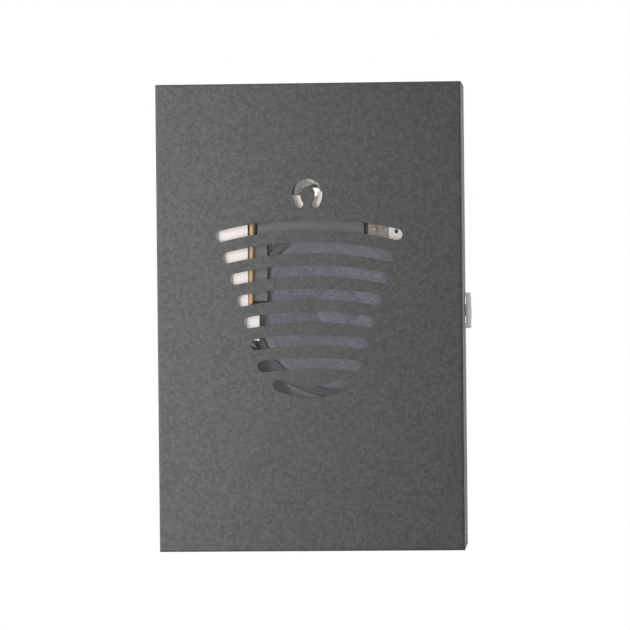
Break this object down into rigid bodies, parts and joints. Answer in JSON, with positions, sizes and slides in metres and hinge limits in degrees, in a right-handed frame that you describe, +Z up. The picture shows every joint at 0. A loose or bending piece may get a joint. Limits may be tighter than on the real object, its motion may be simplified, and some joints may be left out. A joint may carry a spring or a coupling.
{
  "type": "doorbell chime box",
  "caption": "Wall-mounted electric door chime: folded dark steel cover with arched sound slots over a moulded base with loudspeaker, circuit board and side volume slider.",
  "frame": {"origin": "centre of the base plate's wall face, on the wall plane", "axes": "+Z up along the wall, +X to the right as seen from the front, +Y into the wall, so the front of the box faces -Y"},
  "size_m": [0.1001, 0.036, 0.15],
  "materials": {
    "base_plastic": "satin moulded, warm white",
    "screw_steel": "zinc plated",
    "chip_resin": "moulded resin",
    "lead_brown": "insulation, satin",
    "grommet_rubber": "matt",
    "spider_cloth": "resin-dipped weave",
    "pin_tin": "tinned",
    "board_laminate": "green mask, satin",
    "capacitor_sleeve": "dark blue sleeve",
    "cover_paint": "fine texture powder coat, matt",
    "spring_steel": "bright strip",
    "cap_paper": "grey pulp",
    "frame_plastic": "satin moulded, near white",
    "resistor_lacquer": "beige lacquer",
    "basket_steel": "zinc plated pressing",
    "clamp_steel": "zinc plated, dull",
    "cone_paper": "speckled grey pulp",
    "cradle_plastic": "matt moulded, dark grey",
    "gasket_card": "pressed card",
    "magnet_ferrite": "ground ferrite",
    "surround_cloth": "doped cloth",
    "plate_steel": "zinc plated",
    "yoke_steel": "zinc plated",
    "switch_resin": "moulded",
    "lug_tin": "tinned",
    "lever_plastic": "moulded",
    "strip_card": "brown laminate",
    "block_plastic": "green moulding",
    "cage_brass": "plated brass",
    "coil_copper": "enamelled winding",
    "knob_plastic": "milky, satin",
    "lead_white": "insulation, satin"
  },
  "bodies": {
    "base": {"base_plate": "base_plastic", "board_screws": "screw_steel", "bridge_rectifier": "chip_resin", "brown_lead": "lead_brown", "cable_grommet": "grommet_rubber", "centring_spider": "spider_cloth", "chip_pins": "pin_tin", "circuit_board": "board_laminate", "coupling_capacitor": "capacitor_sleeve", "cover_springs": "spring_steel", "cradle_screws": "screw_steel", "dust_cap": "cap_paper", "frame_screws": "screw_steel", "front_frame": "frame_plastic", "melody_chip": "chip_resin", "reservoir_capacitor": "capacitor_sleeve", "resistors": "resistor_lacquer", "speaker_basket": "basket_steel", "speaker_clamp": "clamp_steel", "speaker_cone": "cone_paper", "speaker_cradle": "cradle_plastic", "speaker_gasket": "gasket_card", "speaker_magnet": "magnet_ferrite", "speaker_surround": "surround_cloth", "speaker_top_plate": "plate_steel", "speaker_yoke": "yoke_steel", "switch_base": "switch_resin", "switch_can": "lug_tin", "tag_lugs": "lug_tin", "tag_strip": "strip_card", "terminal_block": "block_plastic", "terminal_cages": "cage_brass", "terminal_screws": "screw_steel", "transistors": "chip_resin", "voice_coil": "coil_copper", "white_lead": "lead_white"},
    "cover": {"cover": "cover_paint"},
    "volume_slider": {"volume_knob": "knob_plastic", "switch_lever": "lever_plastic"}
  },
  "joints": [
    {"name": "cover_lift", "type": "slide", "parent": "base", "child": "cover", "axis": [0, -1, 0], "range_m": [0, 0.045]},
    {"name": "volume_slide", "type": "slide", "parent": "base", "child": "volume_slider", "axis": [0, 0, 1], "range_m": [-0.002, 0.002]}
  ]
}
